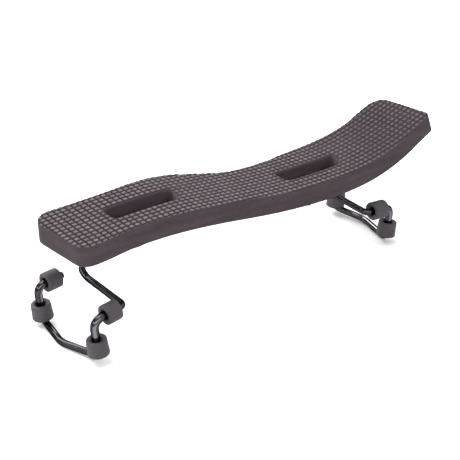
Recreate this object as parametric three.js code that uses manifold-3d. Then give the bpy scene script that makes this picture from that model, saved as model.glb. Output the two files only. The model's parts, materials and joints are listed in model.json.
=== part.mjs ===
// Violin shoulder rest: a gridded pad on a curved plate, held off the table by two sprung-wire claws.
// Millimetres, +Z up. X runs along the pad. While the shapes are worked out, x and z are counted from the
// pad's upper surface at its waist; the last lines move the origin to the table, under the part's middle.
import * as THREE from 'three';
import { mergeVertices } from 'three/addons/utils/BufferGeometryUtils.js';
import Module from 'manifold-3d';

const wasm = await Module();
wasm.setup();

// ---------------------------------------------------------------- driving dimensions

const GAP = 0.3; // air left between two pieces that touch

const PAD = {
  left: -103.5, right: 102.7, thickness: 9.6,
  slant: 0.055, // the ends run this far along x for each millimetre across
  corners: { leftNear: 6.5, leftFar: 10, rightNear: 3, rightFar: 8 }, // radii
};
// a slot is centred on its leg's post, moved along by shift; its right end leans by slant
const PAD_SLOT = { length: 35, width: 10, cornerRadius: 2.2, shift: -0.5, slant: 0.35 };
// height of the pad's upper surface, [x, z]
const PROFILE = [[-108, 3.0], [-90, 3.4], [-76, 4.25], [-60, 4.5], [-44, 4.15], [-27, 2.5], [0, 0],
  [18, -0.95], [36, -1.25], [50, -0.8], [63, 0.9], [80.4, 5.1], [97.2, 11.4], [110, 16.4]];
// the pad's two long edges, [x, y]
const FAR_EDGE = [[-112, 24.9], [-92, 24.8], [-78, 23.7], [-66, 23.9], [-50, 25.6], [-38, 25.9], [-30, 24.8],
  [-20, 21.2], [-7, 16.4], [3, 15.1], [15, 15.6], [34, 18], [48, 18.9], [72, 18.9], [88, 20.6], [108, 20.6]];
const NEAR_EDGE = [[-112, -15.8], [-94, -15.6], [-78, -14.5], [-62, -14.5], [-44, -15.7], [-28, -16.2],
  [-13, -17.6], [0, -18.8], [16, -20], [32, -20.5], [50, -20.2], [66, -19.6], [80, -18.1], [92, -16.3],
  [108, -14.6]];

const PLATE = {
  left: -96, right: 92, width: 24, thickness: 2,
  corners: { leftNear: 11.5, leftFar: 11.5, rightNear: 11.5, rightFar: 11.5 },
};
const PLATE_SLOT = { length: 32, width: 7.4, cornerRadius: 3.7, shift: 0, slant: 0 };
const PLATE_MIDDLE = [[-110, 4], [-58, 4], [0, -2.2], [34, -3.2], [100, -0.5]];

const WIRE = { radius: 1.55, upperBend: 5.2, apexBend: 3.6, sharpBend: 2.8, armBend: 2.2 };
const RUBBER = { radius: 4.6, lowerFlare: 0.35, farUpperLength: 7.2, lowerLength: 7.4, chamfer: 0.5 };
// where each rubber tube begins, along the wire from the claw's upper corner
const TUBE_START = {
  left: { nearUpper: 6.1, farUpper: 4.3, nearLower: 9.2, farLower: 9.2 },
  right: { nearUpper: 5, farUpper: 4.3, nearLower: 8.4, farLower: 9.3 },
};
const NEAR_UPPER_END = 13; // where the near upper tubes end, counted the same way

const THREAD = { radius: 2.6, aboveNut: 1.6, aboveWire: 0.5 };
const BLOCK = { length: 10, width: 6.8, thickness: 1.8, cornerRadius: 3.3 };
const WASHER = { radius: 6, thickness: 0.8 };
const HEIGHT_NUT = { radius: 6.5, thickness: 2.6, scallops: 12, scallopDepth: 0.5 };
const LOCK_NUT = { radius: 4.4, thickness: 2.4 };
const PLATE_CLEARANCE = 0.5; // washer and lock nut stay this far off the curved plate
const CUTTER_HEIGHT = 60; // reaches well above and below the pad and plate

// how finely curves are divided
const FACETS = { slabEnd: 7, corner: 6, bore: 8, ring: 24, tube: 20, wireSides: 10, wireSteps: 120 };
const STATION_SPACING = 4; // along the pad and plate
const SLOPE_STEP = 0.5; // the pad's slope is measured this far to either side

// The claw's wire in its own frame: [outward, across, up], from the middle of its lower bar.
const CLAW = {
  lower: [-0.1, 21, 0.7], apex: [4.7, 0.8, 0], upper: [1.95, 21, 18.9], farTip: [-12.2, 21, 19.5],
  armFoot: [-17, 9.2, 21.2],
};
const ELBOW_DROP = 8; // from the plate's lower face to the middle of the wire's elbow
// Under the plate the wire first climbs steeply: this share of its rise, in this share of its way.
const CLIMB = { way: 0.12, rise: 0.42 };

// side is -1 on the left and +1 on the right. post is where the leg passes through the plate, and claw is the
// middle of its lower bar. turn and lean are the claw's own, in degrees, as its wire was bent and set. far
// and rise stretch its far corners across and its height. inner and head are the two ends of its arm.
const LEGS = [
  {
    name: 'left', side: -1, post: [-58.5, 4], claw: [-103.9, -3.8, -46.6],
    turn: 5.5, lean: -1.2, far: 1, rise: 1,
    inner: [-14.7, -21, 20.3], head: [-17, 13.5, 24.4],
  },
  {
    name: 'right', side: 1, post: [33.7, -3.2], claw: [74.3, 2.6, -46.1],
    turn: -1.7, lean: 1.6, far: 0.92, rise: 0.95,
    inner: [-14.8, -21, 20.2], head: [-17, 14.6, 24.4],
  },
];

// ---------------------------------------------------------------- materials

const surface = (color, roughness, metalness) => () =>
  new THREE.MeshStandardMaterial({ color, roughness, metalness });
const foamRubber = surface(0x4a4044, 0.9, 0);
const blackSteel = surface(0x17161a, 0.25, 0.8);
const softRubber = surface(0x4b464c, 0.85, 0);
const aluminium = surface(0x9a9ca0, 0.4, 0.9);
const brass = surface(0xa88a4a, 0.35, 0.9);

// ---------------------------------------------------------------- curves

/** A smooth function through the points [x, y], for x inside their range. */
function smoothThrough(points) {
  const last = points.length - 1;
  const slope = points.map((_, i) => {
    const [a, b] = [points[Math.max(i - 1, 0)], points[Math.min(i + 1, last)]];
    return (b[1] - a[1]) / (b[0] - a[0]);
  });
  return (x) => {
    let i = 0;
    while (i < last - 1 && x > points[i + 1][0]) i += 1;
    const [[x0, y0], [x1, y1]] = [points[i], points[i + 1]];
    const span = x1 - x0;
    const t = (x - x0) / span;
    const rise = t * t * (3 - 2 * t);
    return y0 + (y1 - y0) * rise
      + span * t * (1 - t) * (slope[i] * (1 - t) - slope[i + 1] * t);
  };
}

const topHeight = smoothThrough(PROFILE);
const farEdge = smoothThrough(FAR_EDGE);
const nearEdge = smoothThrough(NEAR_EDGE);
const plateMiddle = smoothThrough(PLATE_MIDDLE);

/** The point under the pad's upper surface at x, y, depth millimetres along the surface's normal. */
function under(x, y, depth) {
  const rise = topHeight(x + SLOPE_STEP) - topHeight(x - SLOPE_STEP);
  const tangent = new THREE.Vector2(2 * SLOPE_STEP, rise).normalize();
  return [x + depth * tangent.y, y, topHeight(x) - depth * tangent.x];
}

/** A path of straight runs through the corners, each corner rounded off over its own bend length. */
function bentPath(corners) {
  const path = new THREE.CurvePath();
  let from = corners[0].at;
  for (let i = 1; i < corners.length - 1; i += 1) {
    const { at, bend } = corners[i];
    const into = at.clone().add(corners[i - 1].at.clone().sub(at).setLength(bend));
    const out = at.clone().add(corners[i + 1].at.clone().sub(at).setLength(bend));
    path.add(new THREE.LineCurve3(from, into));
    path.add(new THREE.QuadraticBezierCurve3(into, at, out));
    from = out;
  }
  path.add(new THREE.LineCurve3(from, corners.at(-1).at));
  return path;
}

// ---------------------------------------------------------------- solids

/** A three.js geometry as a manifold solid. */
function solid(geometry) {
  const bare = geometry.clone();
  bare.deleteAttribute('normal');
  bare.deleteAttribute('uv');
  const { index, attributes } = mergeVertices(bare, 1e-4);
  return new wasm.Manifold(new wasm.Mesh({
    numProp: 3,
    vertProperties: new Float32Array(attributes.position.array),
    triVerts: new Uint32Array(index.array),
  }));
}

/** A manifold solid as a three.js geometry. */
function geometryOf(manifold) {
  const mesh = manifold.getMesh();
  const geometry = new THREE.BufferGeometry();
  geometry.setAttribute('position', new THREE.BufferAttribute(mesh.vertProperties, 3));
  geometry.setIndex(new THREE.BufferAttribute(mesh.triVerts, 1));
  return geometry;
}

const cut = (geometry, ...cutters) =>
  geometryOf(cutters.reduce((rest, cutter) => rest.subtract(solid(cutter)), solid(geometry)));

/** How far a corner of this radius draws the edge in, at a distance from the slab's end. */
const cornerInset = (distance, radius) =>
  (distance < radius ? radius - Math.sqrt(radius ** 2 - (radius - distance) ** 2) : 0);

/** Distances from a slab's end that are close together where its corner is tight. */
function endStations(radius) {
  return Array.from({ length: FACETS.slabEnd }, (_, i) =>
    radius * (1 - Math.cos((i / FACETS.slabEnd) * Math.PI / 2)));
}

/** A slab that follows the pad's curve between two depths, with edges near(x), far(x) and round corners. */
function bentSlab({ left, right, near, far, slant = 0, corners, topDepth, bottomDepth }) {
  const leftEnd = Math.max(corners.leftNear, corners.leftFar);
  const rightEnd = Math.max(corners.rightNear, corners.rightFar);
  const straight = right - left - leftEnd - rightEnd;
  const pieces = Math.round(straight / STATION_SPACING);
  const stations = [
    ...endStations(leftEnd).map((distance) => left + distance),
    ...Array.from({ length: pieces + 1 }, (_, i) => left + leftEnd + (i / pieces) * straight),
    ...endStations(rightEnd).map((distance) => right - distance).reverse(),
  ];
  const position = [];
  for (const station of stations) {
    const inset = (leftRadius, rightRadius) =>
      cornerInset(station - left, leftRadius) + cornerInset(right - station, rightRadius);
    const [xNear, xFar] = [station - slant * near(station), station - slant * far(station)];
    const yNear = near(xNear) + inset(corners.leftNear, corners.rightNear);
    const yFar = far(xFar) - inset(corners.leftFar, corners.rightFar);
    position.push(
      ...under(xNear, yNear, topDepth), ...under(xFar, yFar, topDepth),
      ...under(xFar, yFar, bottomDepth), ...under(xNear, yNear, bottomDepth),
    );
  }
  const index = [0, 1, 2, 0, 2, 3];
  const end = position.length / 3 - 4;
  for (let ring = 0; ring < end; ring += 4) {
    for (let side = 0; side < 4; side += 1) {
      const [a, b] = [ring + side, ring + ((side + 1) % 4)];
      index.push(a, a + 4, b + 4, a, b + 4, b);
    }
  }
  index.push(end, end + 2, end + 1, end, end + 3, end + 2);
  const geometry = new THREE.BufferGeometry();
  geometry.setAttribute('position', new THREE.Float32BufferAttribute(position, 3));
  geometry.setIndex(index);
  return geometry;
}

/** A rectangle with rounded corners, centred on the origin. */
function roundedRectangle(length, width, radius) {
  const [x, y] = [length / 2 - radius, width / 2 - radius];
  const shape = new THREE.Shape();
  shape.absarc(x, y, radius, 0, Math.PI / 2);
  shape.absarc(-x, y, radius, Math.PI / 2, Math.PI);
  shape.absarc(-x, -y, radius, Math.PI, 1.5 * Math.PI);
  shape.absarc(x, -y, radius, 1.5 * Math.PI, 2 * Math.PI);
  return shape;
}

/** A closed outline of count points round the origin, at radiusAt(angle). */
function polygon(count, radiusAt) {
  return new THREE.Shape(Array.from({ length: count }, (_, i) => {
    const angle = (i / count) * 2 * Math.PI;
    return new THREE.Vector2(Math.cos(angle), Math.sin(angle)).multiplyScalar(radiusAt(angle));
  }));
}

function withHole(shape, radius) {
  shape.holes.push(new THREE.Path().absarc(0, 0, radius, 0, 2 * Math.PI, true));
  return shape;
}

const upright = (shape, height, curveSegments = FACETS.bore) =>
  new THREE.ExtrudeGeometry(shape, { depth: height, bevelEnabled: false, curveSegments });

/** A cutter that opens a slot right through whatever lies at a leg's post. */
function slotCutter(leg, { length, width, cornerRadius, shift, slant }) {
  const outline = roundedRectangle(length, width, cornerRadius).getPoints(FACETS.corner);
  const leaning = outline.map(({ x, y }) => new THREE.Vector2(x > 0 ? x + slant * y : x, y));
  const [postX, postY] = leg.post;
  return upright(new THREE.Shape(leaning), CUTTER_HEIGHT).translate(postX + shift, postY, -CUTTER_HEIGHT / 2);
}

/** A solid turned round +Y from a profile of [radius, height]. */
const turned = (profile, segments) =>
  new THREE.LatheGeometry(profile.map(([radius, height]) => new THREE.Vector2(radius, height)), segments);

/** A ring turned round +Z, from z = 0 up. */
function ring(innerRadius, outerRadius, height) {
  const profile = [
    [innerRadius, 0], [outerRadius, 0], [outerRadius, height], [innerRadius, height], [innerRadius, 0],
  ];
  return turned(profile, FACETS.ring).rotateX(Math.PI / 2);
}

// ---------------------------------------------------------------- pad and plate

function padGeometry() {
  const slab = bentSlab({ ...PAD, near: nearEdge, far: farEdge, topDepth: 0, bottomDepth: PAD.thickness });
  return cut(slab, ...LEGS.map((leg) => slotCutter(leg, PAD_SLOT)));
}

const plateTop = PAD.thickness + GAP; // depth under the pad's upper surface
const plateBottom = plateTop + PLATE.thickness;

function plateGeometry() {
  const slab = bentSlab({
    ...PLATE, topDepth: plateTop, bottomDepth: plateBottom,
    near: (x) => plateMiddle(x) - PLATE.width / 2, far: (x) => plateMiddle(x) + PLATE.width / 2,
  });
  return cut(slab, ...LEGS.map((leg) => slotCutter(leg, PLATE_SLOT)));
}

// ---------------------------------------------------------------- one leg

/** Heights of the pieces stacked on a leg's post. */
function stackOf(leg) {
  const surfaceHeight = topHeight(leg.post[0]);
  const plateFace = surfaceHeight - plateTop;
  const plateUnderside = surfaceHeight - plateBottom;
  const lockNut = plateFace + PLATE_CLEARANCE;
  const washer = plateUnderside - PLATE_CLEARANCE - WASHER.thickness;
  const heightNut = washer - GAP - HEIGHT_NUT.thickness;
  const elbow = plateUnderside - ELBOW_DROP;
  return {
    block: plateUnderside + (PLATE.thickness - BLOCK.thickness) / 2,
    lockNut, washer, heightNut, elbow,
    threadTop: lockNut + LOCK_NUT.thickness + THREAD.aboveNut,
    threadBottom: elbow + WIRE.sharpBend,
  };
}

/** A point given in the claw's own frame, [outward, across, up], in the part's frame. */
function clawPoint(leg, [outward, across, up]) {
  return new THREE.Vector3(leg.side * outward, across, up * leg.rise)
    .applyAxisAngle(new THREE.Vector3(1, 0, 0), THREE.MathUtils.degToRad(leg.lean))
    .applyAxisAngle(new THREE.Vector3(0, 0, 1), THREE.MathUtils.degToRad(leg.turn))
    .add(new THREE.Vector3(...leg.claw));
}

const near = ([outward, across, up]) => [outward, -across, up];
const far = (leg, [outward, across, up]) => [outward, across * leg.far, up];

/** The wire's corners, from the threaded end to the free tip. */
function wireCorners(leg) {
  const stack = stackOf(leg);
  const { upperBend, apexBend, sharpBend, armBend } = WIRE;
  const elbow = new THREE.Vector3(...leg.post, stack.elbow);
  const armHead = clawPoint(leg, leg.head);
  const climb = armHead.clone().lerp(elbow, CLIMB.way);
  climb.z = THREE.MathUtils.lerp(armHead.z, elbow.z, CLIMB.rise);
  const onClaw = (point, bend) => ({ at: clawPoint(leg, point), bend });
  return [
    { at: new THREE.Vector3(...leg.post, stack.threadTop - THREAD.aboveWire) },
    { at: elbow, bend: sharpBend },
    { at: climb, bend: armBend },
    { at: armHead, bend: sharpBend },
    onClaw(CLAW.armFoot, armBend),
    onClaw(leg.inner, sharpBend),
    onClaw(near(CLAW.upper), upperBend),
    onClaw(near(CLAW.lower), sharpBend),
    onClaw(CLAW.apex, apexBend),
    onClaw(far(leg, CLAW.lower), sharpBend),
    onClaw(far(leg, CLAW.upper), upperBend),
    onClaw(far(leg, CLAW.farTip)),
  ];
}

function sweptWire(leg, radius) {
  const section = polygon(FACETS.wireSides, () => radius);
  const extrudePath = bentPath(wireCorners(leg));
  return new THREE.ExtrudeGeometry(section, { extrudePath, steps: FACETS.wireSteps, bevelEnabled: false });
}

/** A rubber tube round the wire's run from one claw corner towards another, start millimetres along it. */
function rubberTube(leg, fromCorner, toCorner, start, length, startRadius, endRadius) {
  const from = clawPoint(leg, fromCorner);
  const axis = clawPoint(leg, toCorner).sub(from).normalize();
  const c = RUBBER.chamfer;
  const profile = [[0, 0], [startRadius - c, 0], [startRadius, c],
    [endRadius, length - c], [endRadius - c, length], [0, length]];
  const tube = turned(profile, FACETS.tube);
  tube.applyQuaternion(new THREE.Quaternion().setFromUnitVectors(new THREE.Vector3(0, 1, 0), axis));
  tube.translate(...from.addScaledVector(axis, start));
  return cut(tube, sweptWire(leg, WIRE.radius + GAP));
}

function legMeshes(leg) {
  const stack = stackOf(leg);
  const at = (geometry, z) => geometry.translate(...leg.post, z);
  const bore = THREAD.radius + GAP;
  const { radius, lowerFlare, farUpperLength, lowerLength } = RUBBER;

  const scalloped = polygon(4 * HEIGHT_NUT.scallops, (angle) =>
    HEIGHT_NUT.radius - HEIGHT_NUT.scallopDepth * (0.5 - 0.5 * Math.cos(angle * HEIGHT_NUT.scallops)));
  const hexagon = polygon(6, () => LOCK_NUT.radius);
  const block = roundedRectangle(BLOCK.length, BLOCK.width, BLOCK.cornerRadius);

  const nearUpper = near(CLAW.upper);
  const nearLower = near(CLAW.lower);
  const [farUpper, farLower, farTip] = [CLAW.upper, CLAW.lower, CLAW.farTip].map((point) => far(leg, point));
  const start = TUBE_START[leg.name];
  return [
    [`${leg.name}_slot_block`, brass,
      at(upright(withHole(block, bore), BLOCK.thickness), stack.block)],
    [`${leg.name}_key_washer`, blackSteel, at(ring(bore, WASHER.radius, WASHER.thickness), stack.washer)],
    [`${leg.name}_height_nut`, brass,
      at(upright(withHole(scalloped, bore), HEIGHT_NUT.thickness), stack.heightNut)],
    [`${leg.name}_lock_nut`, blackSteel,
      at(upright(withHole(hexagon, bore), LOCK_NUT.thickness), stack.lockNut)],
    [`${leg.name}_threaded_sleeve`, brass,
      at(ring(WIRE.radius + GAP, THREAD.radius, stack.threadTop - stack.threadBottom), stack.threadBottom)],
    [`${leg.name}_leg_wire`, blackSteel, sweptWire(leg, WIRE.radius)],
    [`${leg.name}_near_upper_tube`, softRubber,
      rubberTube(leg, nearUpper, leg.inner, start.nearUpper, NEAR_UPPER_END - start.nearUpper, radius, radius)],
    [`${leg.name}_near_lower_tube`, softRubber,
      rubberTube(leg, nearUpper, nearLower, start.nearLower, lowerLength, radius, radius + lowerFlare)],
    [`${leg.name}_far_upper_tube`, softRubber,
      rubberTube(leg, farUpper, farTip, start.farUpper, farUpperLength, radius, radius)],
    [`${leg.name}_far_lower_tube`, softRubber,
      rubberTube(leg, farUpper, farLower, start.farLower, lowerLength, radius, radius + lowerFlare)],
  ];
}

// ---------------------------------------------------------------- the part

const shoulderRest = new THREE.Group();

function addMesh([name, material, geometry]) {
  const mesh = new THREE.Mesh(geometry, material());
  mesh.name = name;
  shoulderRest.add(mesh);
}

addMesh(['pad', foamRubber, padGeometry()]);
addMesh(['base_plate', aluminium, plateGeometry()]);
for (const leg of LEGS) legMeshes(leg).forEach(addMesh);

// the origin lies on the table under the middle of the part's box
const box = new THREE.Box3().setFromObject(shoulderRest);
const middle = box.getCenter(new THREE.Vector3());
shoulderRest.position.set(-middle.x, -middle.y, -box.min.z);

export default shoulderRest;
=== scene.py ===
"""A violin shoulder rest: a gridded foam-rubber pad on a curved plate, with two bent-wire claws.

Shapes are worked out in millimetres, with x and z counted from the pad's upper surface at its waist,
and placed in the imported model's frame, which is in metres. Everything under the pad is a guess.
"""
import math

import bmesh
import bpy
import json
import numpy as np
from mathutils import Matrix, Vector
from mathutils.kdtree import KDTree

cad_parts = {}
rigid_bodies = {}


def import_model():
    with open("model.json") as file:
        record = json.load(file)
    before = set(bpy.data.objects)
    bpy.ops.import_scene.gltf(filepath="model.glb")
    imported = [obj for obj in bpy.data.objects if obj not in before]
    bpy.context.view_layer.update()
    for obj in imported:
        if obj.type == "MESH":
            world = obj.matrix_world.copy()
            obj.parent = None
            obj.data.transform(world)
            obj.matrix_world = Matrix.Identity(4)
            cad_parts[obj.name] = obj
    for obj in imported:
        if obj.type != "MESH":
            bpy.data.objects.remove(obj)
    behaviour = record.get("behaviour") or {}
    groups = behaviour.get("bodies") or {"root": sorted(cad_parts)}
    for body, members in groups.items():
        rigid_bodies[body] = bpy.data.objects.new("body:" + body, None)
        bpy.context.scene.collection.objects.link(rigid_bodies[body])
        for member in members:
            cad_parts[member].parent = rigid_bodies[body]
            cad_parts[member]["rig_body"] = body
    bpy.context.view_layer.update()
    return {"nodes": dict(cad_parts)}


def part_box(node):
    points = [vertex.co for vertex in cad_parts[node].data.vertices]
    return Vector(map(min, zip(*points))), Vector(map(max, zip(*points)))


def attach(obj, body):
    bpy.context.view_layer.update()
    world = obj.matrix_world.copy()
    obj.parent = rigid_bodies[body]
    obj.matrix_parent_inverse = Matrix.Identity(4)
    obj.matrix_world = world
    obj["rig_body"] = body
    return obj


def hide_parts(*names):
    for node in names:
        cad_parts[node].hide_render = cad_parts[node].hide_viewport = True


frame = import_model()
SEED = 7
rng = np.random.default_rng(SEED)

# ---------------------------------------------------------------- driving dimensions, as in the CAD

GAP = 0.3  # between the pad and the plate, and between washer and nut
PAD = dict(left=-103.5, right=102.7, thickness=9.6, slant=0.055)
PAD_CORNERS = dict(left_near=6.5, left_far=10, right_near=3, right_far=8)
PAD_SLOT = dict(size=(35, 10, 2.2), shift=-0.5, slant=0.35)  # the right end leans over
PROFILE = [(-108, 3.0), (-90, 3.4), (-76, 4.25), (-60, 4.5), (-44, 4.15), (-27, 2.5), (0, 0), (18, -0.95),
           (36, -1.25), (50, -0.8), (63, 0.9), (80.4, 5.1), (97.2, 11.4), (110, 16.4)]
FAR_EDGE = [(-112, 24.9), (-92, 24.8), (-78, 23.7), (-66, 23.9), (-50, 25.6), (-38, 25.9), (-30, 24.8),
            (-20, 21.2), (-7, 16.4), (3, 15.1), (15, 15.6), (34, 18), (48, 18.9), (72, 18.9), (88, 20.6),
            (108, 20.6)]
NEAR_EDGE = [(-112, -15.8), (-94, -15.6), (-78, -14.5), (-62, -14.5), (-44, -15.7), (-28, -16.2),
             (-13, -17.6), (0, -18.8), (16, -20), (32, -20.5), (50, -20.2), (66, -19.6), (80, -18.1),
             (92, -16.3), (108, -14.6)]
PLATE = dict(left=-96, right=92, width=24, thickness=2, corner=11.5)
PLATE_SLOT = dict(size=(32, 7.4, 3.7), shift=0, slant=0)
PLATE_MIDDLE = [(-110, 4), (-58, 4), (0, -2.2), (34, -3.2), (100, -0.5)]
WIRE_RADIUS = 1.66  # 1.55 in the CAD
FORK_RADIUS = 1.92  # round the claws' upper corners, in the visual model only; fitted, the cause isn't known
FORK_REACH = (10, 13.5)  # it goes back to the wire's radius between these distances from the corner
WIRE_SIDES = 28
WIRE_IN_SLEEVE = 0.5  # the wire ends this far below the sleeve's top
WIRE_END = 0.35  # how far the wire's ends are eased
BEND_STEPS, RUN_STEP = 14, 3.0  # points round a bend, and the length between points on a straight run
UPPER_BEND, APEX_BEND, SHARP_BEND, ARM_BEND = 5.2, 3.6, 2.8, 2.2
TUBE_RADIUS, TUBE_FLARE, UPPER_TUBE, LOWER_TUBE = 4.6, 0.35, 7.2, 7.4
TUBE_START = dict(near_upper=dict(left=6.1, right=5.0), far_upper=dict(left=4.3, right=4.3),
                  near_lower=dict(left=9.2, right=8.4), far_lower=dict(left=9.2, right=9.3))
NEAR_UPPER_END = 13.0
TUBE_BORE, TUBE_MOUTH = FORK_RADIUS + 0.06, FORK_RADIUS + 0.7
TUBE_RIM_ROUND = 0.28
TUBE_SEAM_AT = 0.27  # the parting line's place along the tube, as a share of its length
THREAD_RADIUS, THREAD_PITCH, THREAD_ABOVE_NUT = 2.6, 0.8, 1.6
THREAD_DEPTH, THREAD_STEP, THREAD_SIDES = 0.46, 0.1, 40
SLEEVE_COLLAR, SLEEVE_LEAD = 1.2, 0.6  # heights of the plain foot and of the tapered top
SLEEVE_BORE = WIRE_RADIUS + 0.08
NUT_BORE, BLOCK_BORE, WASHER_BORE = THREAD_RADIUS + 0.1, THREAD_RADIUS + 0.12, THREAD_RADIUS + 0.15
BLOCK = (10, 6.8, 1.8, 3.3)  # length, width, thickness, corner radius
WASHER = (6, 0.8)  # radius, thickness
HEIGHT_NUT = dict(radius=6.5, thickness=2.6, scallops=12, depth=0.5)
LOCK_NUT = dict(radius=4.4, thickness=2.4)
PLATE_CLEARANCE = 0.5
PLATE_EDGE = 0.35  # how far the sheet's edges are eased
CLAW = dict(lower=(-0.1, 21, 0.7), apex=(4.7, 0.8, 0), upper=(1.95, 21, 18.9),
            far_tip=(-12.2, 21, 19.5), arm_foot=(-17, 9.2, 21.2))
ELBOW_DROP = 8
CUT_REACH = 40
CLIMB_WAY, CLIMB_RISE = 0.12, 0.42
LEGS = [
    dict(name="left", side=-1, post=(-58.5, 4), claw=(-103.9, -3.8, -46.6), turn=5.5, lean=-1.2,
         far=1, rise=1, inner=(-14.7, -21, 20.3), head=(-17, 13.5, 24.4)),
    dict(name="right", side=1, post=(33.7, -3.2), claw=(74.3, 2.6, -46.1), turn=-1.7, lean=1.6,
         far=0.92, rise=0.95, inner=(-14.8, -21, 20.2), head=(-17, 14.6, 24.4)),
]

# the pad's pattern of raised squares
PITCH = 3.0
GROOVE_DEPTH = 0.62
# distances from the grooves' middle lines, between which the square rises, its painted light comes and the
# grooves' painted shade goes
SHOULDER, CROWN_REACH, GROOVE_REACH = (0.1, 0.72), (0.12, 0.85), (0.1, 0.62)
GRID_LINES = (0, 0.17, 0.34, 0.53, 0.74, 1.1, 1.5)  # the mesh's lines over half a square
EDGE_ROUND = 0.5
SLOT_ROUND = 1.5
PAD_SWELL = 0.12  # the pad's underside is this far below the CAD's
OUTLINE_STEP = 0.45
CORNER_STATIONS = 24
MARK_STEP = 0.1  # how finely an outline is marked off to measure distances from it
CROWN_FADE, CROWN_FADE_REACH = 0.62, (35, 75)  # the painted light on the squares' crowns fades by this share to the right
GROOVE_FADE, GROOVE_FADE_REACH = 0.5, (30, 75)  # and so does the painted shade in the grooves
TILE_TABLE = (256, 64)  # a shade for each square, along and across


# ---------------------------------------------------------------- curves

def smooth_through(points):
    """A smooth function through the points (x, y), for numbers or arrays."""
    px, py = (np.array(c, float) for c in zip(*points))
    last = len(px) - 1
    before = np.maximum(np.arange(last + 1) - 1, 0)
    after = np.minimum(np.arange(last + 1) + 1, last)
    slope = (py[after] - py[before]) / (px[after] - px[before])

    def value(x):
        x = np.asarray(x, float)
        i = np.clip(np.searchsorted(px, x, side="left") - 1, 0, last - 1)
        span = px[i + 1] - px[i]
        t = (x - px[i]) / span
        rise = t * t * (3 - 2 * t)
        return (py[i] + (py[i + 1] - py[i]) * rise
                + span * t * (1 - t) * (slope[i] * (1 - t) - slope[i + 1] * t))
    return value


top_height = smooth_through(PROFILE)
far_edge = smooth_through(FAR_EDGE)
near_edge = smooth_through(NEAR_EDGE)
plate_middle = smooth_through(PLATE_MIDDLE)

ARC_REACH, ARC_STATIONS = 112, 4481
UNBEND_ROUNDS = 6
ARC_X = np.linspace(-ARC_REACH, ARC_REACH, ARC_STATIONS)
_steps = np.hypot(np.diff(ARC_X), np.diff(top_height(ARC_X)))
ARC_S = np.concatenate([[0], np.cumsum(_steps)])
ARC_S -= np.interp(0, ARC_X, ARC_S)


def arc_at(x):
    """Length along the pad's curve from its waist to x."""
    return np.interp(x, ARC_X, ARC_S)


def top_slope(x):
    return top_height(x + 0.5) - top_height(x - 0.5)


def bend(s, y, depth):
    """Points at arc length s and breadth y, depth under the pad's upper surface."""
    x = np.interp(s, ARC_S, ARC_X)
    rise = top_slope(x)
    norm = np.hypot(1, rise)
    return np.stack([x + depth * rise / norm, y + 0 * x, top_height(x) - depth / norm], -1)


def unbend(points):
    """Arc length, breadth and depth of points under the pad's surface."""
    px, y, z = points.T
    x = px.copy()
    for _ in range(UNBEND_ROUNDS):
        rise = top_slope(x)
        norm = np.hypot(1, rise)
        depth = (top_height(x) - z) * norm
        x = px - depth * rise / norm
    return arc_at(x), y, depth


def smooth_step(low, high, value):
    """From 0 at low to 1 at high, level at both."""
    t = np.clip((value - low) / (high - low), 0, 1)
    return t * t * (3 - 2 * t)


# the frame's origin against the design's: a slot block's box is centred on its leg's post
_low, _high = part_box("left_slot_block")
_post = LEGS[0]["post"]
_underside = float(top_height(_post[0])) - PAD["thickness"] - GAP - PLATE["thickness"]
_block_z = _underside + (PLATE["thickness"] - BLOCK[2]) / 2
SHIFT = Vector(((_low.x + _high.x) * 500 - _post[0], (_low.y + _high.y) * 500 - _post[1],
                _low.z * 1000 - _block_z))


# ---------------------------------------------------------------- meshes

def placed(points):
    """Design points in the frame's metres."""
    return (np.asarray(points, float) + np.array(SHIFT)) / 1000


def face_outward(mesh):
    bm = bmesh.new()
    bm.from_mesh(mesh)
    bmesh.ops.recalc_face_normals(bm, faces=bm.faces)
    bm.to_mesh(mesh)
    bm.free()


def linked(name, data):
    """A new object in the scene."""
    ob = bpy.data.objects.new(name, data)
    bpy.context.scene.collection.objects.link(ob)
    return ob


def mesh_object(name, points, faces, smooth_angle, material):
    """A mesh object from design points in millimetres."""
    mesh = bpy.data.meshes.new(name)
    mesh.from_pydata(placed(points).tolist(), [], [list(map(int, f)) for f in faces])
    mesh.validate()
    return finish_mesh(name, mesh, smooth_angle, material)


def finish_mesh(name, mesh, smooth_angle, material):
    """An object of the mesh, shaded smooth up to the angle in degrees."""
    ob = linked(name, mesh)
    face_outward(mesh)
    mesh.shade_smooth()
    mesh.set_sharp_from_angle(angle=math.radians(smooth_angle))
    mesh.materials.append(material)
    return ob


def raw_object(name, points, faces):
    """A helper object whose units are the numbers given, for boolean work."""
    mesh = bpy.data.meshes.new(name)
    mesh.from_pydata(np.asarray(points, float).tolist(), [], faces)
    face_outward(mesh)
    return linked(name, mesh)


def vertices_of(mesh):
    return np.array([v.co for v in mesh.vertices])


def finish_cut(name, helper, smooth_angle, material):
    """The helper's mesh, in millimetres, as a finished object; the helper is removed."""
    mesh = helper.data
    bpy.data.objects.remove(helper)
    mesh.vertices.foreach_set("co", placed(vertices_of(mesh)).astype(np.float32).ravel())
    mesh.materials.clear()
    return finish_mesh(name, mesh, smooth_angle, material)


def boolean(body, tool, operation):
    """The boolean is applied to the body, and the tool is removed."""
    mod = body.modifiers.new("cut", "BOOLEAN")
    mod.operation = operation
    mod.solver = "MANIFOLD"
    mod.object = tool
    bpy.context.view_layer.update()
    graph = bpy.context.evaluated_depsgraph_get()
    mesh = bpy.data.meshes.new_from_object(body.evaluated_get(graph))
    body.modifiers.clear()
    body.data = mesh
    bpy.data.objects.remove(tool)


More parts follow.
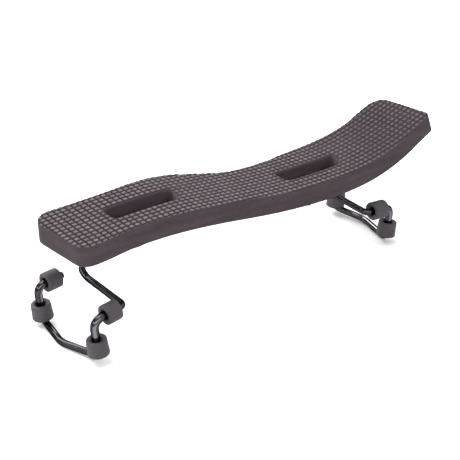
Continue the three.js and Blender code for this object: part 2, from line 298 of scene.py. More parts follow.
def loops_solid(loops, close=True):
    """Faces joining equal loops of points; with close, the first and last loops join too, as in a ring."""
    count = len(loops[0])
    points = np.concatenate(loops)
    faces = []
    pairs = [(i, (i + 1) % len(loops)) for i in range(len(loops) if close else len(loops) - 1)]
    for a, b in pairs:
        for k in range(count):
            n = (k + 1) % count
            faces.append((a * count + k, a * count + n, b * count + n, b * count + k))
    if not close:
        faces.append(tuple(range(count)))
        faces.append(tuple(range((len(loops) - 1) * count, len(loops) * count)))
    return points, faces


def circle(radius, count, z):
    """A ring of points; the radius may be a function of the angle."""
    a = np.arange(count) / count * 2 * math.pi
    r = radius(a) if callable(radius) else radius
    return np.stack([r * np.cos(a), r * np.sin(a), np.full(count, float(z))], -1)


def rounded_rectangle(length, width, radius, z=0.0, corner=10):
    points = []
    for cx, cy, start in ((1, 1, 0), (-1, 1, 90), (-1, -1, 180), (1, -1, 270)):
        for k in range(corner + 1):
            a = math.radians(start + 90 * k / corner)
            points.append((cx * (length / 2 - radius) + radius * math.cos(a),
                           cy * (width / 2 - radius) + radius * math.sin(a), z))
    return np.array(points)


def slot_ring(leg, size, shift, slant):
    """The outline of a slot at a leg's post; its right end slants."""
    ring = rounded_rectangle(*size)
    ring[:, 0] += slant * ring[:, 1] * (ring[:, 0] > 0)
    return ring + np.array([leg["post"][0] + shift, leg["post"][1], 0])


def cut_slots(body, slot):
    """The slot cut through the body at both legs' posts."""
    reach = (0, 0, CUT_REACH)
    for leg in LEGS:
        ring = slot_ring(leg, **slot)
        points, faces = loops_solid([ring - reach, ring + reach], close=False)
        boolean(body, raw_object("slot_tool", points, faces), "DIFFERENCE")


# ---------------------------------------------------------------- material helpers

def material(name):
    mat = bpy.data.materials.new(name)
    mat.use_nodes = True
    tree = mat.node_tree
    return mat, tree, tree.nodes["Principled BSDF"]


def noise(tree, scale, detail, rough, stretch=(1, 1, 1)):
    """Noise in the object's own coordinates; scale is per metre."""
    coords = tree.nodes.new("ShaderNodeTexCoord")
    mapping = tree.nodes.new("ShaderNodeMapping")
    mapping.inputs["Scale"].default_value = stretch
    tree.links.new(coords.outputs["Object"], mapping.inputs["Vector"])
    node = tree.nodes.new("ShaderNodeTexNoise")
    node.inputs["Scale"].default_value = scale
    node.inputs["Detail"].default_value = detail
    node.inputs["Roughness"].default_value = rough
    tree.links.new(mapping.outputs["Vector"], node.inputs["Vector"])
    return node.outputs["Fac"]


def ramp(tree, value, stops):
    node = tree.nodes.new("ShaderNodeValToRGB")
    elements = node.color_ramp.elements
    while len(elements) < len(stops):
        elements.new(0.5)
    for element, (position, color) in zip(elements, stops):
        element.position = position
        element.color = (*color, 1) if len(color) == 3 else color
    tree.links.new(value, node.inputs["Fac"])
    return node.outputs["Color"]


def mix(tree, factor, a, b):
    node = tree.nodes.new("ShaderNodeMix")
    node.data_type = "RGBA"
    for value, socket in ((factor, node.inputs[0]), (a, node.inputs[6]), (b, node.inputs[7])):
        if hasattr(value, "links"):
            tree.links.new(value, socket)
        elif isinstance(value, tuple):
            socket.default_value = (*value, 1)
        else:
            socket.default_value = value
    return node.outputs[2]


def spread(tree, value, low, high, from_low=0.3, from_high=0.7):
    node = tree.nodes.new("ShaderNodeMapRange")
    node.inputs["From Min"].default_value = from_low
    node.inputs["From Max"].default_value = from_high
    node.inputs["To Min"].default_value = low
    node.inputs["To Max"].default_value = high
    tree.links.new(value, node.inputs["Value"])
    return node.outputs["Result"]


def bump(tree, shader, height, distance, strength):
    node = tree.nodes.new("ShaderNodeBump")
    node.inputs["Distance"].default_value = distance
    node.inputs["Strength"].default_value = strength
    tree.links.new(height, node.inputs["Height"])
    tree.links.new(node.outputs["Normal"], shader.inputs["Normal"])


def attribute(tree, name):
    node = tree.nodes.new("ShaderNodeAttribute")
    node.attribute_name = name
    return node.outputs["Fac"]


def srgb(r, g, b):
    """Linear colour from 0-255 display values."""
    return tuple(((c / 255 + 0.055) / 1.055) ** 2.4 if c > 10 else c / 255 / 12.92 for c in (r, g, b))


# ---------------------------------------------------------------- materials

def pad_material():
    """Foam rubber, with painted light making the squares' crowns paler and painted shade making the grooves
    dark.
    """
    mat, tree, shader = material("pad_foam_rubber")
    crown_light = attribute(tree, "crown_light")
    groove_shade = attribute(tree, "groove_shade")
    tile = attribute(tree, "tile")
    mottle = noise(tree, 900, 4, 0.6)
    cloud = noise(tree, 60, 3, 0.5)
    streak = noise(tree, 260, 4, 0.6, (0.12, 0.12, 1))
    side = ramp(tree, streak, [(0.3, srgb(51, 42, 47)), (0.7, srgb(67, 57, 62))])
    side = mix(tree, spread(tree, mottle, 0, 0.35), side, srgb(45, 37, 42))
    pale = ramp(tree, tile, [(0.0, srgb(80, 72, 76)), (1.0, srgb(102, 92, 96))])
    pale = mix(tree, spread(tree, cloud, 0, 0.35), pale, srgb(112, 103, 107))
    pale = mix(tree, spread(tree, mottle, 0, 0.4), pale, srgb(70, 61, 66))
    # painted light: the squares' upward-facing crowns get the pale colour, paler than the darker colour of
    # the walls
    color = mix(tree, crown_light, side, pale)
    # painted shade: the grooves are darkened to near black
    color = mix(tree, groove_shade, color, srgb(17, 13, 15))
    tree.links.new(color, shader.inputs["Base Color"])
    shader.inputs["Roughness"].default_value = 0.85
    shader.inputs["Specular IOR Level"].default_value = 0.25
    bump(tree, shader, mottle, 0.00008, 0.7)
    return mat


def wire_material():
    """Glossy black metal with a made-up pattern of paler lines along it, painted in as highlight streaks."""
    mat, tree, shader = material("glossy_black_wire")
    scuffs = noise(tree, 700, 3, 0.6)
    dark = ramp(tree, scuffs, [(0.35, (0.03, 0.028, 0.032)), (0.75, (0.055, 0.051, 0.058))])
    # painted highlight: paler lines along the wire stand in for the lights' reflections
    highlight_streaks = spread(tree, attribute(tree, "highlight_streaks"), 0, 1, 0.55, 0.95)
    tree.links.new(mix(tree, highlight_streaks, dark, (0.2, 0.188, 0.21)), shader.inputs["Base Color"])
    tree.links.new(spread(tree, scuffs, 0.06, 0.12), shader.inputs["Roughness"])
    shader.inputs["Metallic"].default_value = 1.0
    shader.inputs["Specular Tint"].default_value = (0.25, 0.25, 0.25, 1)
    bump(tree, shader, noise(tree, 240, 2, 0.5), 0.00002, 0.35)
    return mat


def rubber_material():
    """Matt dark rubber with a fine grain."""
    mat, tree, shader = material("matt_rubber_tube")
    fine = noise(tree, 1800, 4, 0.6)
    broad = noise(tree, 180, 3, 0.5)
    base = ramp(tree, broad, [(0.3, srgb(48, 43, 48)), (0.7, srgb(60, 54, 59))])
    base = mix(tree, spread(tree, fine, 0, 0.3), base, srgb(76, 69, 75))
    tree.links.new(base, shader.inputs["Base Color"])
    tree.links.new(spread(tree, fine, 0.6, 0.75), shader.inputs["Roughness"])
    shader.inputs["Specular IOR Level"].default_value = 0.4
    bump(tree, shader, fine, 0.00006, 0.6)
    return mat


def metal_material(name, dark, light, rough, scale, stretch=(1, 1, 1), metallic=1.0):
    """Grained metal; the grain runs along the axes that stretch makes small."""
    mat, tree, shader = material(name)
    grain = noise(tree, scale, 4, 0.6, stretch)
    tree.links.new(ramp(tree, grain, [(0.3, dark), (0.7, light)]), shader.inputs["Base Color"])
    tree.links.new(spread(tree, grain, rough, rough + 0.12), shader.inputs["Roughness"])
    shader.inputs["Metallic"].default_value = metallic
    bump(tree, shader, grain, 0.00002, 0.4)
    return mat


PAD_MATERIAL = pad_material()
WIRE_MATERIAL = wire_material()
RUBBER_MATERIAL = rubber_material()
PLATE_MATERIAL = metal_material("brushed_aluminium", (0.42, 0.43, 0.45), (0.6, 0.61, 0.63), 0.3, 900,
                                stretch=(0.05, 1, 1))
BRASS_MATERIAL = metal_material("turned_brass", (0.5, 0.36, 0.14), (0.7, 0.53, 0.24), 0.24, 1200,
                                stretch=(1, 1, 0.2))
STEEL_MATERIAL = metal_material("black_oxide_steel", (0.018, 0.018, 0.021), (0.045, 0.044, 0.048), 0.32, 900,
                                metallic=0.85)


def stands_for(ob, node):
    """ob replaces a CAD node, in the same body."""
    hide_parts(node)
    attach(ob, frame["nodes"][node]["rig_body"])


# ---------------------------------------------------------------- the pad

def quarter_round(distance, radius):
    """How far a rounded edge or corner has fallen back, at a distance in from its end."""
    inside = np.clip(radius - np.asarray(distance, float), 0, radius)
    return radius - np.sqrt(np.maximum(radius ** 2 - inside ** 2, 0))


def slab_outline(left, right, near, far, slant, corners, spacing=0.5):
    """The outline of a bent slab in arc length and breadth, anticlockwise from its left end."""
    def ends(radius):
        return radius * (1 - np.cos(np.linspace(0, math.pi / 2, CORNER_STATIONS)))[:-1]
    left_end = max(corners["left_near"], corners["left_far"])
    right_end = max(corners["right_near"], corners["right_far"])
    middle = np.arange(left + left_end, right - right_end, spacing)
    station = np.concatenate([left + ends(left_end), middle, (right - ends(right_end))[::-1]])
    x_near = station - slant * near(station)
    x_far = station - slant * far(station)
    y_near = (near(x_near) + quarter_round(station - left, corners["left_near"])
              + quarter_round(right - station, corners["right_near"]))
    y_far = (far(x_far) - quarter_round(station - left, corners["left_far"])
             - quarter_round(right - station, corners["right_far"]))
    lower = np.stack([arc_at(x_near), y_near], -1)
    upper = np.stack([arc_at(x_far), y_far], -1)
    return np.concatenate([lower, upper[::-1]])


def dense(outline, spacing):
    """The closed outline resampled every spacing."""
    ring = np.concatenate([outline, outline[:1]])
    length = np.concatenate([[0], np.cumsum(np.linalg.norm(np.diff(ring, axis=0), axis=1))])
    at = np.arange(0, length[-1], spacing)
    return np.stack([np.interp(at, length, ring[:, 0]), np.interp(at, length, ring[:, 1])], -1)


def inside(outline, s, y):
    """Whether points lie inside the closed outline."""
    found = np.zeros(len(s), bool)
    for (s0, y0), (s1, y1) in zip(outline, np.roll(outline, -1, 0)):
        if y0 == y1:
            continue
        crosses = (y0 > y) != (y1 > y)
        found ^= crosses & (s < (s1 - s0) * (y - y0) / (y1 - y0) + s0)
    return found


def edge_distance(outline, s, y):
    """Distance to the outline, negative outside it."""
    marks = dense(outline, MARK_STEP)
    tree = KDTree(len(marks))
    for i, (ms, my) in enumerate(marks):
        tree.insert((ms, my, 0), i)
    tree.balance()
    away = np.array([tree.find((ps, py, 0))[2] for ps, py in zip(s, y)])
    return np.where(inside(outline, s, y), away, -away)


def in_squares(s, y, reach):
    """From 0 in the grooves to 1 in the squares, which are centred on whole pitches."""
    def across(value):
        away = PITCH / 2 - np.abs((value + PITCH / 2) % PITCH - PITCH / 2)
        return smooth_step(*reach, away)
    return across(s) * across(y)


def slot_outline(leg):
    ring = slot_ring(leg, **PAD_SLOT)
    return np.stack([arc_at(ring[:, 0]), ring[:, 1]], -1)


def edge_distances(outline, s, y):
    """Distances in from the pad's outline and out from the nearest slot."""
    slots = [-edge_distance(slot_outline(leg), s, y) for leg in LEGS]
    return edge_distance(outline, s, y), np.minimum(*slots)


def grid_lines(low, high):
    """Lines close together at the grooves' sides."""
    half = np.array(GRID_LINES)
    cell = np.concatenate([half, PITCH - half[::-1][1:]])[:-1] - PITCH / 2
    first = math.floor(low / PITCH)
    last = math.ceil(high / PITCH)
    lines = np.concatenate([k * PITCH + cell for k in range(first, last + 1)])
    return lines[(lines > low - PITCH) & (lines < high + PITCH)]


def pad_field(s_lines, y_lines, depth, bottom):
    """A block over the whole grid, flat below and with its top sunk by the depths."""
    ns, ny = len(s_lines), len(y_lines)
    s, y = (a.ravel() for a in np.meshgrid(s_lines, y_lines, indexing="ij"))
    top = np.stack([s, y, -depth], -1)
    foot = np.array([(sl, yl, -bottom) for sl in s_lines for yl in (y_lines[0], y_lines[-1])])
    base = ns * ny
    faces = []
    for i in range(ns - 1):
        for j in range(ny - 1):
            a = i * ny + j
            faces.append((a, a + ny, a + ny + 1, a + 1))
        low, high = base + 2 * i, base + 2 * i + 1
        faces.append((low, low + 2, i * ny + ny, i * ny))
        faces.append((high, i * ny + ny - 1, (i + 1) * ny + ny - 1, high + 2))
        faces.append((low, high, high + 2, low + 2))
    faces.append((base, *range(ny), base + 1))
    faces.append((base + 2 * ns - 2, *range((ns - 1) * ny, ns * ny), base + 2 * ns - 1))
    return raw_object("pad_field", np.concatenate([top, foot]), faces)


def cut_pad(outline):
    """The pad in millimetres: made flat, cut to its outline, bent, and slotted."""
    s_lines = grid_lines(outline[:, 0].min(), outline[:, 0].max())
    y_lines = grid_lines(outline[:, 1].min(), outline[:, 1].max())
    s, y = (a.ravel() for a in np.meshgrid(s_lines, y_lines, indexing="ij"))
    rim_distance, slot_distance = edge_distances(outline, s, y)
    drop = np.maximum(quarter_round(rim_distance, EDGE_ROUND), quarter_round(slot_distance, SLOT_ROUND))
    fade = smooth_step(-0.6, 0.9, rim_distance) * smooth_step(0, 1.6, slot_distance)
    bottom = PAD["thickness"] + PAD_SWELL
    depth = drop + GROOVE_DEPTH * (1 - in_squares(s, y, SHOULDER)) * fade
    pad = pad_field(s_lines, y_lines, depth, bottom)
    rim = dense(outline, OUTLINE_STEP)
    stack = [np.column_stack([rim, np.full(len(rim), z)]) for z in (-bottom - 1, 3)]
    boolean(pad, raw_object("pad_outline", *loops_solid(stack, close=False)), "INTERSECT")
    flat = vertices_of(pad.data)
    for vertex, place in zip(pad.data.vertices, bend(flat[:, 0], flat[:, 1], -flat[:, 2])):
        vertex.co = place
    cut_slots(pad, PAD_SLOT)
    return pad


def upward_corners(mesh):
    """For each face corner, its vertex, and 1 on faces that look up, falling to 0 on walls."""
    vertex = np.zeros(len(mesh.loops), int)
    mesh.loops.foreach_get("vertex_index", vertex)
    normals = np.zeros(len(mesh.polygons) * 3)
    mesh.polygons.foreach_get("normal", normals)
    counts = np.zeros(len(mesh.polygons), int)
    mesh.polygons.foreach_get("loop_total", counts)
    return vertex, np.repeat(smooth_step(0.12, 0.3, normals.reshape(-1, 3)[:, 2]), counts)


def paint_pad(mesh, outline):
    """Where the pad's top gets painted light on the squares' crowns and painted shade in the grooves, and a
    random tone for each square.
    """
    s, y, depth = unbend(vertices_of(mesh))
    rim_distance, slot_distance = edge_distances(outline, s, y)
    # both the painted light and the painted shade fade over the rounded edges, the crowns sooner
    crown_fade = smooth_step(-0.1, 0.6, rim_distance) * smooth_step(0.5, 2.2, slot_distance)
    groove_fade = smooth_step(-0.2, 0.6, rim_distance) * smooth_step(0, 1.2, slot_distance)
    shallow = 1 - smooth_step(0.9, 1.6, depth)
    crown_light = in_squares(s, y, CROWN_REACH) * crown_fade * shallow
    crown_light = crown_light * (1 - CROWN_FADE * smooth_step(*CROWN_FADE_REACH, s))
    groove_shade = (1 - in_squares(s, y, GROOVE_REACH)) * groove_fade * shallow
    groove_shade = groove_shade * (1 - GROOVE_FADE * smooth_step(*GROOVE_FADE_REACH, s))
    cell_s, cell_y = np.round(s / PITCH).astype(int), np.round(y / PITCH).astype(int)
    tile = rng.random(TILE_TABLE)[cell_s + TILE_TABLE[0] // 2, cell_y + TILE_TABLE[1] // 2]
    vertex, facing = upward_corners(mesh)
    # the painted light and the painted shade go only on faces that look up
    for name, values, weight in (("crown_light", crown_light, facing), ("groove_shade", groove_shade, facing), ("tile", tile, 1)):
        layer = mesh.attributes.new(name, "FLOAT", "CORNER")
        layer.data.foreach_set("value", (values[vertex] * weight).astype(np.float32))


def make_pad():
    outline = slab_outline(PAD["left"], PAD["right"], near_edge, far_edge, PAD["slant"], PAD_CORNERS)
    pad = cut_pad(outline)
    paint_pad(pad.data, outline)
    ob = finish_cut("pad_gridded", pad, 42, PAD_MATERIAL)
    stands_for(ob, "pad")


# ---------------------------------------------------------------- the plate

def strip_across(rim, count, base, flip):
    """A broad face cut into strips across, so that it follows the bend."""
    order = np.argsort(rim[:, 0])
    left, right = int(order[0]), int(order[-1])
    lower = [k % count for k in range(left, left + (right - left) % count + 1)]
    upper = [k % count for k in range(left, left - (left - right) % count - 1, -1)]
    faces = []
    a, b = 0, 0
    while a < len(lower) - 1 or b < len(upper) - 1:
        next_a = rim[lower[min(a + 1, len(lower) - 1)], 0]
        next_b = rim[upper[min(b + 1, len(upper) - 1)], 0]
        if b >= len(upper) - 1 or (a < len(lower) - 1 and next_a <= next_b):
            face = (lower[a], lower[a + 1], upper[b])
            a += 1
        else:
            face = (lower[a], upper[b + 1], upper[b])
            b += 1
        if len(set(face)) == 3:
            faces.append(tuple(base + k for k in (face[::-1] if flip else face)))
    return faces


def make_plate():
    corners = dict.fromkeys(("left_near", "left_far", "right_near", "right_far"), PLATE["corner"])
    half = PLATE["width"] / 2
    outline = slab_outline(PLATE["left"], PLATE["right"], lambda x: plate_middle(x) - half,
                           lambda x: plate_middle(x) + half, 0, corners, 1.0)
    rim = dense(outline, 1.0)
    top = PAD["thickness"] + GAP
    foot = top + PLATE["thickness"]
    out = np.roll(rim, -1, 0) - np.roll(rim, 1, 0)
    out = np.stack([out[:, 1], -out[:, 0]], -1) / np.linalg.norm(out, axis=1)[:, None]
    edge = [(top, PLATE_EDGE), (top + 0.1, 0.1), (top + PLATE_EDGE, 0),
            (foot - PLATE_EDGE, 0), (foot - 0.1, 0.1), (foot, PLATE_EDGE)]
    loops = []
    for depth, inset in edge:
        ring = rim - out * inset
        loops.append(bend(ring[:, 0], ring[:, 1], depth))
    count = len(rim)
    points, faces = loops_solid(loops, close=False)
    faces = (faces[:-2] + strip_across(rim, count, 0, False)
             + strip_across(rim, count, count * (len(loops) - 1), True))
    plate = raw_object("plate_raw", points, faces)
    cut_slots(plate, PLATE_SLOT)
    ob = finish_cut("base_plate_sheet", plate, 35, PLATE_MATERIAL)
    stands_for(ob, "base_plate")


# ---------------------------------------------------------------- the legs

def stack_of(leg):
    """The heights of what sits on a leg's post."""
    surface = float(top_height(leg["post"][0]))
    face = surface - PAD["thickness"] - GAP
    underside = face - PLATE["thickness"]
    lock_nut = face + PLATE_CLEARANCE
    washer = underside - PLATE_CLEARANCE - WASHER[1]
    elbow = underside - ELBOW_DROP
    return dict(block=underside + (PLATE["thickness"] - BLOCK[2]) / 2, lock_nut=lock_nut, washer=washer,
                height_nut=washer - GAP - HEIGHT_NUT["thickness"], elbow=elbow,
                thread_top=lock_nut + LOCK_NUT["thickness"] + THREAD_ABOVE_NUT,
                thread_bottom=elbow + SHARP_BEND)


def claw_point(leg, point):
    """A point of the claw, given outward, across and up from the middle of its lower bar."""
    outward, across, up = point
    turn = (Matrix.Rotation(math.radians(leg["turn"]), 3, "Z")
            @ Matrix.Rotation(math.radians(leg["lean"]), 3, "X"))
    return turn @ Vector((leg["side"] * outward, across, up * leg["rise"])) + Vector(leg["claw"])


def near(point):
    """The same corner on the claw's near side."""
    return (point[0], -point[1], point[2])


def far(leg, point):
    """A corner on the claw's far side, pulled in by the leg's own share."""
    return (point[0], point[1] * leg["far"], point[2])


def wire_corners(leg):
    """The corners of the wire, each with its bend's reach, from the sleeve to the claw's far tip."""
    stack = stack_of(leg)
    elbow = Vector((*leg["post"], stack["elbow"]))
    head = claw_point(leg, leg["head"])
    climb = head.lerp(elbow, CLIMB_WAY)
    climb.z = head.z + (elbow.z - head.z) * CLIMB_RISE
    return [
        (Vector((*leg["post"], stack["thread_top"] - WIRE_IN_SLEEVE)), 0),
        (elbow, SHARP_BEND), (climb, ARM_BEND), (head, SHARP_BEND),
        (claw_point(leg, CLAW["arm_foot"]), ARM_BEND),
        (claw_point(leg, leg["inner"]), SHARP_BEND),
        (claw_point(leg, near(CLAW["upper"])), UPPER_BEND),
        (claw_point(leg, near(CLAW["lower"])), SHARP_BEND),
        (claw_point(leg, CLAW["apex"]), APEX_BEND),
        (claw_point(leg, far(leg, CLAW["lower"])), SHARP_BEND),
        (claw_point(leg, far(leg, CLAW["upper"])), UPPER_BEND),
        (claw_point(leg, far(leg, CLAW["far_tip"])), 0),
    ]


def bent_path(corners):
    """Points along straight runs with rounded corners."""
    path = [corners[0][0]]

    def run_to(point):
        start = path[-1]
        count = max(1, int((point - start).length / RUN_STEP))
        path.extend(start.lerp(point, k / count) for k in range(1, count + 1))

    for i in range(1, len(corners) - 1):
        at, reach = corners[i]
        into = at + (corners[i - 1][0] - at).normalized() * reach
        out = at + (corners[i + 1][0] - at).normalized() * reach
        run_to(into)
        for k in range(1, BEND_STEPS + 1):
            t = k / BEND_STEPS
            path.append((1 - t) ** 2 * into + 2 * t * (1 - t) * at + t ** 2 * out)
    run_to(corners[-1][0])
    return path


def wire_radii(leg, path):
    """The wire's radius along its path: thicker round the claw's two upper corners."""
    forks = [claw_point(leg, corner) for corner in (far(leg, CLAW["upper"]), near(CLAW["upper"]))]
    away = [min((point - fork).length for fork in forks) for point in path]
    return FORK_RADIUS - (FORK_RADIUS - WIRE_RADIUS) * smooth_step(*FORK_REACH, np.array(away))


def painted_highlight_streaks(length, rows):
    """Values from 0 to 1 round and along a wire, for its painted highlight streaks: lines that keep to its
    length and wander a little.
    """
    around = np.arange(WIRE_SIDES) / WIRE_SIDES * 2 * math.pi
    along = np.linspace(0, length, rows)[:, None]
    total = np.zeros((rows, WIRE_SIDES))
    for waves in (2, 3, 5, 7):
        phase, wander = rng.uniform(0, 2 * math.pi, 2)
        total += np.sin(waves * around + phase + 1.5 * np.sin(along / 18 + wander)) / math.sqrt(waves)
    return (total - total.min()) / (total.max() - total.min())


def swept(path, radii):
    """The wire along its path, with eased ends."""
    tangents = []
    for i in range(len(path)):
        a, b = path[max(i - 1, 0)], path[min(i + 1, len(path) - 1)]
        tangents.append((b - a).normalized())
    across = tangents[0].orthogonal().normalized()
    rings = []
    for i, (point, tangent) in enumerate(zip(path, tangents)):
        if i:
            across = tangents[i - 1].rotation_difference(tangent) @ across
            across = (across - tangent * across.dot(tangent)).normalized()
        up = tangent.cross(across)
        rings.append((point, tangent, across, up))

    def ring(place, r, along=0.0):
        point, tangent, a, b = place
        angles = np.arange(WIRE_SIDES) / WIRE_SIDES * 2 * math.pi
        middle = np.array(point + tangent * along)
        return middle + r * (np.cos(angles)[:, None] * np.array(a) + np.sin(angles)[:, None] * np.array(b))

    eased = [(WIRE_END, 0), (0.1, 0.1), (0, WIRE_END)]
    loops = [ring(rings[0], radii[0] - inset, along) for inset, along in eased]
    loops += [ring(place, radius) for place, radius in zip(rings[1:-1], radii[1:-1])]
    loops += [ring(rings[-1], radii[-1] - inset, -along) for inset, along in reversed(eased)]
    return loops_solid(loops, close=False)


def turned(profile, segments):
    """A ring turned round +Z from a closed profile of (radius, z)."""
    return loops_solid([circle(r, segments, z) for r, z in profile], close=True)


def placed_at(points, origin, axis):
    """Points made along +Z, moved so that they run along the axis from the origin."""
    rotation = Vector((0, 0, 1)).rotation_difference(axis).to_matrix()
    return points @ np.array(rotation).T + np.array(origin)


def make_tube(leg, name, from_corner, to_corner, start, length, r0, r1):
    """A moulded rubber sleeve: rounded rims, a recess round the wire and a faint parting line."""
    origin = claw_point(leg, from_corner)
    axis = (claw_point(leg, to_corner) - origin).normalized()
    bore, mouth, ease = TUBE_BORE, TUBE_MOUTH, TUBE_RIM_ROUND
    seam = length * TUBE_SEAM_AT

    def side(z):
        return r0 + (r1 - r0) * z / length
    profile = [(bore, 1.5), (mouth - 0.2, 1.2), (mouth, 0.25), (mouth + 0.25, 0.0)]
    profile += [(side(0) - ease, 0.0)]
    profile += [(side(0) - ease + ease * math.sin(a), ease - ease * math.cos(a))
                for a in np.radians([30, 60, 90])]
    profile += [(side(seam + along) + proud, seam + along)
                for along, proud in ((-0.28, 0), (-0.12, 0.05), (0, 0.07), (0.12, 0.05), (0.28, 0))]
    profile += [(side(length * f), length * f) for f in (0.45, 0.62, 0.78)]
    profile += [(side(length) - ease + ease * math.cos(a), length - ease + ease * math.sin(a))
                for a in np.radians([0, 30, 60, 90])]
    profile += [(mouth + 0.25, length), (mouth, length - 0.25), (mouth - 0.2, length - 1.2),
                (bore, length - 1.5)]
    points, faces = turned(profile, 56)
    points = placed_at(points, origin + axis * start, axis)
    ob = mesh_object(f"{leg['name']}_{name}_rubber", points, faces, 50, RUBBER_MATERIAL)
    stands_for(ob, f"{leg['name']}_{name}_tube")


def turned_part(leg, part, finish, points, faces, height, smooth_angle, material, slot):
    """A part on the leg's post, at its height, that stands for the CAD node of the same name."""
    name = f"{leg['name']}_{part}"
    on_post = points + np.array([*leg["post"], height])
    stands_for(mesh_object(f"{name}_{finish}", on_post, faces, smooth_angle, material), name)


def make_sleeve(leg):
    """The threaded sleeve: a rolled thread over most of its height, a plain collar at the foot."""
    stack = stack_of(leg)
    length = stack["thread_top"] - stack["thread_bottom"]
    rows = int(round(length / THREAD_STEP))
    angles = np.arange(THREAD_SIDES) / THREAD_SIDES * 2 * math.pi
    loops = [circle(SLEEVE_BORE, THREAD_SIDES, 0), circle(THREAD_RADIUS - 0.3, THREAD_SIDES, 0)]
    for k in range(rows + 1):
        z = length * k / rows
        phase = (z / THREAD_PITCH - angles / (2 * math.pi)) % 1
        tooth = 1 - np.abs(2 * phase - 1)
        depth = THREAD_DEPTH * smooth_step(0.12, 0.88, 1 - tooth)
        depth = depth * smooth_step(SLEEVE_COLLAR - 0.2, SLEEVE_COLLAR + 0.4, z)
        taper = 0.55 * smooth_step(length - SLEEVE_LEAD, length, z) + 0.25 * (1 - smooth_step(0, 0.3, z))
        r = np.minimum(THREAD_RADIUS - depth, THREAD_RADIUS - taper)
        loops.append(np.stack([r * np.cos(angles), r * np.sin(angles), np.full(THREAD_SIDES, z)], -1))
    loops.append(circle(SLEEVE_BORE, THREAD_SIDES, length))
    points, faces = loops_solid(loops, close=True)
    turned_part(leg, "threaded_sleeve", "turned", points, faces, stack["thread_bottom"], 50,
                BRASS_MATERIAL, "brass")


def make_height_nut(leg):
    """A round nut with a scalloped rim and a shallow groove turned in its foot."""
    r, t, n, d = (HEIGHT_NUT[k] for k in ("radius", "thickness", "scallops", "depth"))

    def rim(inset):
        return lambda a: r - inset - d * (0.5 - 0.5 * np.cos(a * n)) ** 2
    bore = NUT_BORE
    profile = [(bore, 0.25), (bore + 0.25, 0.0), (3.9, 0.0), (4.1, 0.18), (4.6, 0.18), (4.8, 0.0),
               (rim(0.45), 0.0), (rim(0.12), 0.14), (rim(0), 0.45), (rim(0), t / 2), (rim(0), t - 0.45),
               (rim(0.12), t - 0.14), (rim(0.45), t), (bore + 0.25, t), (bore, t - 0.25)]
    turned_part(leg, "height_nut", "turned", *turned(profile, 192), stack_of(leg)["height_nut"], 40,
                BRASS_MATERIAL, "brass")


def make_lock_nut(leg):
    """A hexagonal nut, chamfered above and below."""
    r, t = LOCK_NUT["radius"], LOCK_NUT["thickness"]
    flat = r * math.cos(math.pi / 6)

    def hexagon(limit):
        return lambda a: np.minimum(flat / np.cos((a + 1e-9) % (math.pi / 3) - math.pi / 6), limit)
    bore = NUT_BORE
    profile = [(bore, 0.3), (bore + 0.3, 0.0), (flat - 0.08, 0.0)]
    chamfer = [(hexagon(flat + 0.02 + (r - flat) * f), 0.36 * f) for f in (0.0, 0.35, 0.7, 1.0)]
    profile += [(edge, in_from_face + 0.02) for edge, in_from_face in chamfer]
    profile += [(edge, t - in_from_face - 0.02) for edge, in_from_face in reversed(chamfer)]
    profile += [(flat - 0.08, t), (bore + 0.3, t), (bore, t - 0.3)]
    turned_part(leg, "lock_nut", "chamfered", *turned(profile, 120), stack_of(leg)["lock_nut"], 28,
                STEEL_MATERIAL, "black_steel")


def make_washer(leg):
    """A flat washer with rounded edges."""
    r, t = WASHER
    bore = WASHER_BORE
    profile = [(bore, 0.12), (bore + 0.12, 0), (r - 0.25, 0), (r - 0.06, 0.08), (r, 0.25), (r, t - 0.25),
               (r - 0.06, t - 0.08), (r - 0.25, t), (bore + 0.12, t), (bore, t - 0.12)]
    turned_part(leg, "key_washer", "pressed", *turned(profile, 96), stack_of(leg)["washer"], 35,
                STEEL_MATERIAL, "black_steel")


def make_block(leg):
    """The block that slides in the plate's slot, with a round hole."""
    length, width, t, radius = BLOCK
    outer = rounded_rectangle(length, width, radius, corner=12)
    angles = np.arctan2(outer[:, 1], outer[:, 0])
    inner = np.stack([np.cos(angles), np.sin(angles), 0 * angles], -1)

    def rim(inset, z):
        return rounded_rectangle(length - 2 * inset, width - 2 * inset, radius - inset, z, 12)

    def hole(r, z):
        return inner * r + np.array([0, 0, z])
    bore = BLOCK_BORE
    loops = [hole(bore, 0.2), hole(bore + 0.2, 0), rim(0.25, 0), rim(0.06, 0.08), rim(0, 0.25),
             rim(0, t - 0.25), rim(0.06, t - 0.08), rim(0.25, t), hole(bore + 0.2, t), hole(bore, t - 0.2)]
    turned_part(leg, "slot_block", "milled", *loops_solid(loops, close=True), stack_of(leg)["block"], 35,
                BRASS_MATERIAL, "brass")


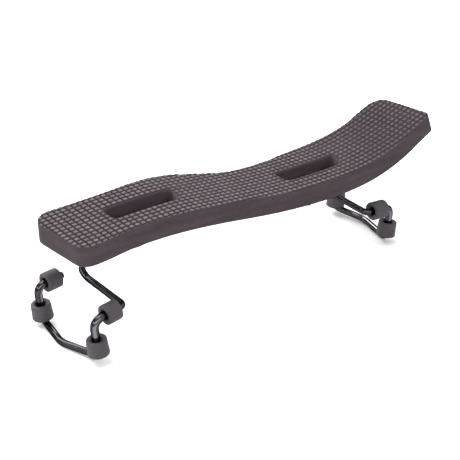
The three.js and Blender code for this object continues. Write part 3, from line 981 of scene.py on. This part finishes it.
def make_leg(leg):
    """One leg: its wire, its four tubes and the hardware on its post."""
    name = leg["name"]
    path = bent_path(wire_corners(leg))
    points, faces = swept(path, wire_radii(leg, path))
    wire = mesh_object(f"{name}_bent_wire", points, faces, 50, WIRE_MATERIAL)
    length = sum((b - a).length for a, b in zip(path, path[1:]))
    # the painted highlight streaks along the wire
    highlight_streaks = wire.data.attributes.new("highlight_streaks", "FLOAT", "POINT")
    highlight_streaks.data.foreach_set("value", painted_highlight_streaks(length, len(points) // WIRE_SIDES).ravel())
    stands_for(wire, f"{name}_leg_wire")
    near_upper, near_lower = near(CLAW["upper"]), near(CLAW["lower"])
    far_upper, far_lower, far_tip = (far(leg, CLAW[corner]) for corner in ("upper", "lower", "far_tip"))
    r, flare = TUBE_RADIUS, TUBE_RADIUS + TUBE_FLARE
    start = {tube: by_leg[name] for tube, by_leg in TUBE_START.items()}
    near_upper_length = NEAR_UPPER_END - start["near_upper"]
    make_tube(leg, "near_upper", near_upper, leg["inner"], start["near_upper"], near_upper_length, r, r)
    make_tube(leg, "near_lower", near_upper, near_lower, start["near_lower"], LOWER_TUBE, r, flare)
    make_tube(leg, "far_upper", far_upper, far_tip, start["far_upper"], UPPER_TUBE, r, r)
    make_tube(leg, "far_lower", far_upper, far_lower, start["far_lower"], LOWER_TUBE, r, flare)
    for make in (make_sleeve, make_height_nut, make_lock_nut, make_washer, make_block):
        make(leg)


make_pad()
make_plate()
for each in LEGS:
    make_leg(each)


# ---------------------------------------------------------------- floor, lights, camera

FLOOR_REACH = 6.0
IMAGE_WIDTH, FOCAL_LENGTH = 460, 1177.97  # both in pixels
SENSOR_WIDTH = 36
CAMERA_PLACE = (-312.84, -398.40, 239.60)
CAMERA_AIM = (0.5329, 0.7070, -0.4650)
PAD_MIDDLE = (0, 0, 0.03)


def make_floor():
    d = FLOOR_REACH
    mesh = bpy.data.meshes.new("floor")
    mesh.from_pydata([(-d, -d, 0), (d, -d, 0), (d, d, 0), (-d, d, 0)], [], [(0, 1, 2, 3)])
    floor = linked("floor", mesh)
    mat, _, shader = material("pale_floor")
    shader.inputs["Base Color"].default_value = (0.96, 0.96, 0.96, 1)
    shader.inputs["Roughness"].default_value = 0.9
    shader.inputs["Specular IOR Level"].default_value = 0.0
    mesh.materials.append(mat)


def area_light(name, location, target, size, power):
    data = bpy.data.lights.new(name, "AREA")
    data.shape = "RECTANGLE"
    data.size, data.size_y = size
    data.energy = power
    ob = linked(name, data)
    ob.location = location
    ob.rotation_euler = (Vector(target) - Vector(location)).to_track_quat("-Z", "Y").to_euler()


make_floor()
area_light("overhead", (-0.15, 0.1, 0.9), (0, 0, 0), (0.5, 0.5), 4.6)
area_light("back_panel", (-0.05, 0.78, 0.68), PAD_MIDDLE, (1.0, 0.4), 12)
area_light("front_strip", (-0.35, -0.95, 0.55), PAD_MIDDLE, (1.3, 0.1), 3.7)
area_light("left_strip", (-0.95, 0.05, 0.5), PAD_MIDDLE, (1.1, 0.1), 3.1)
area_light("right_strip", (0.8, -0.35, 0.6), PAD_MIDDLE, (0.9, 0.1), 2.3)

world = bpy.data.worlds.new("studio")
world.use_nodes = True
background = world.node_tree.nodes["Background"]
background.inputs["Color"].default_value = (1, 1, 1, 1)
background.inputs["Strength"].default_value = 0.75
bpy.context.scene.world = world
bpy.context.scene.view_settings.view_transform = "Standard"

camera_data = bpy.data.cameras.new("camera")
camera_data.sensor_width = SENSOR_WIDTH
camera_data.lens = SENSOR_WIDTH * FOCAL_LENGTH / IMAGE_WIDTH
camera_data.clip_start, camera_data.clip_end = 0.02, 40
camera = linked("camera", camera_data)
forward = Vector(CAMERA_AIM).normalized()
right = forward.cross(Vector((0, 0, 1))).normalized()
up = right.cross(forward)
place = (Vector(CAMERA_PLACE) + SHIFT) / 1000
camera.matrix_world = Matrix.Translation(place) @ Matrix((right, up, -forward)).transposed().to_4x4()
bpy.context.scene.camera = camera
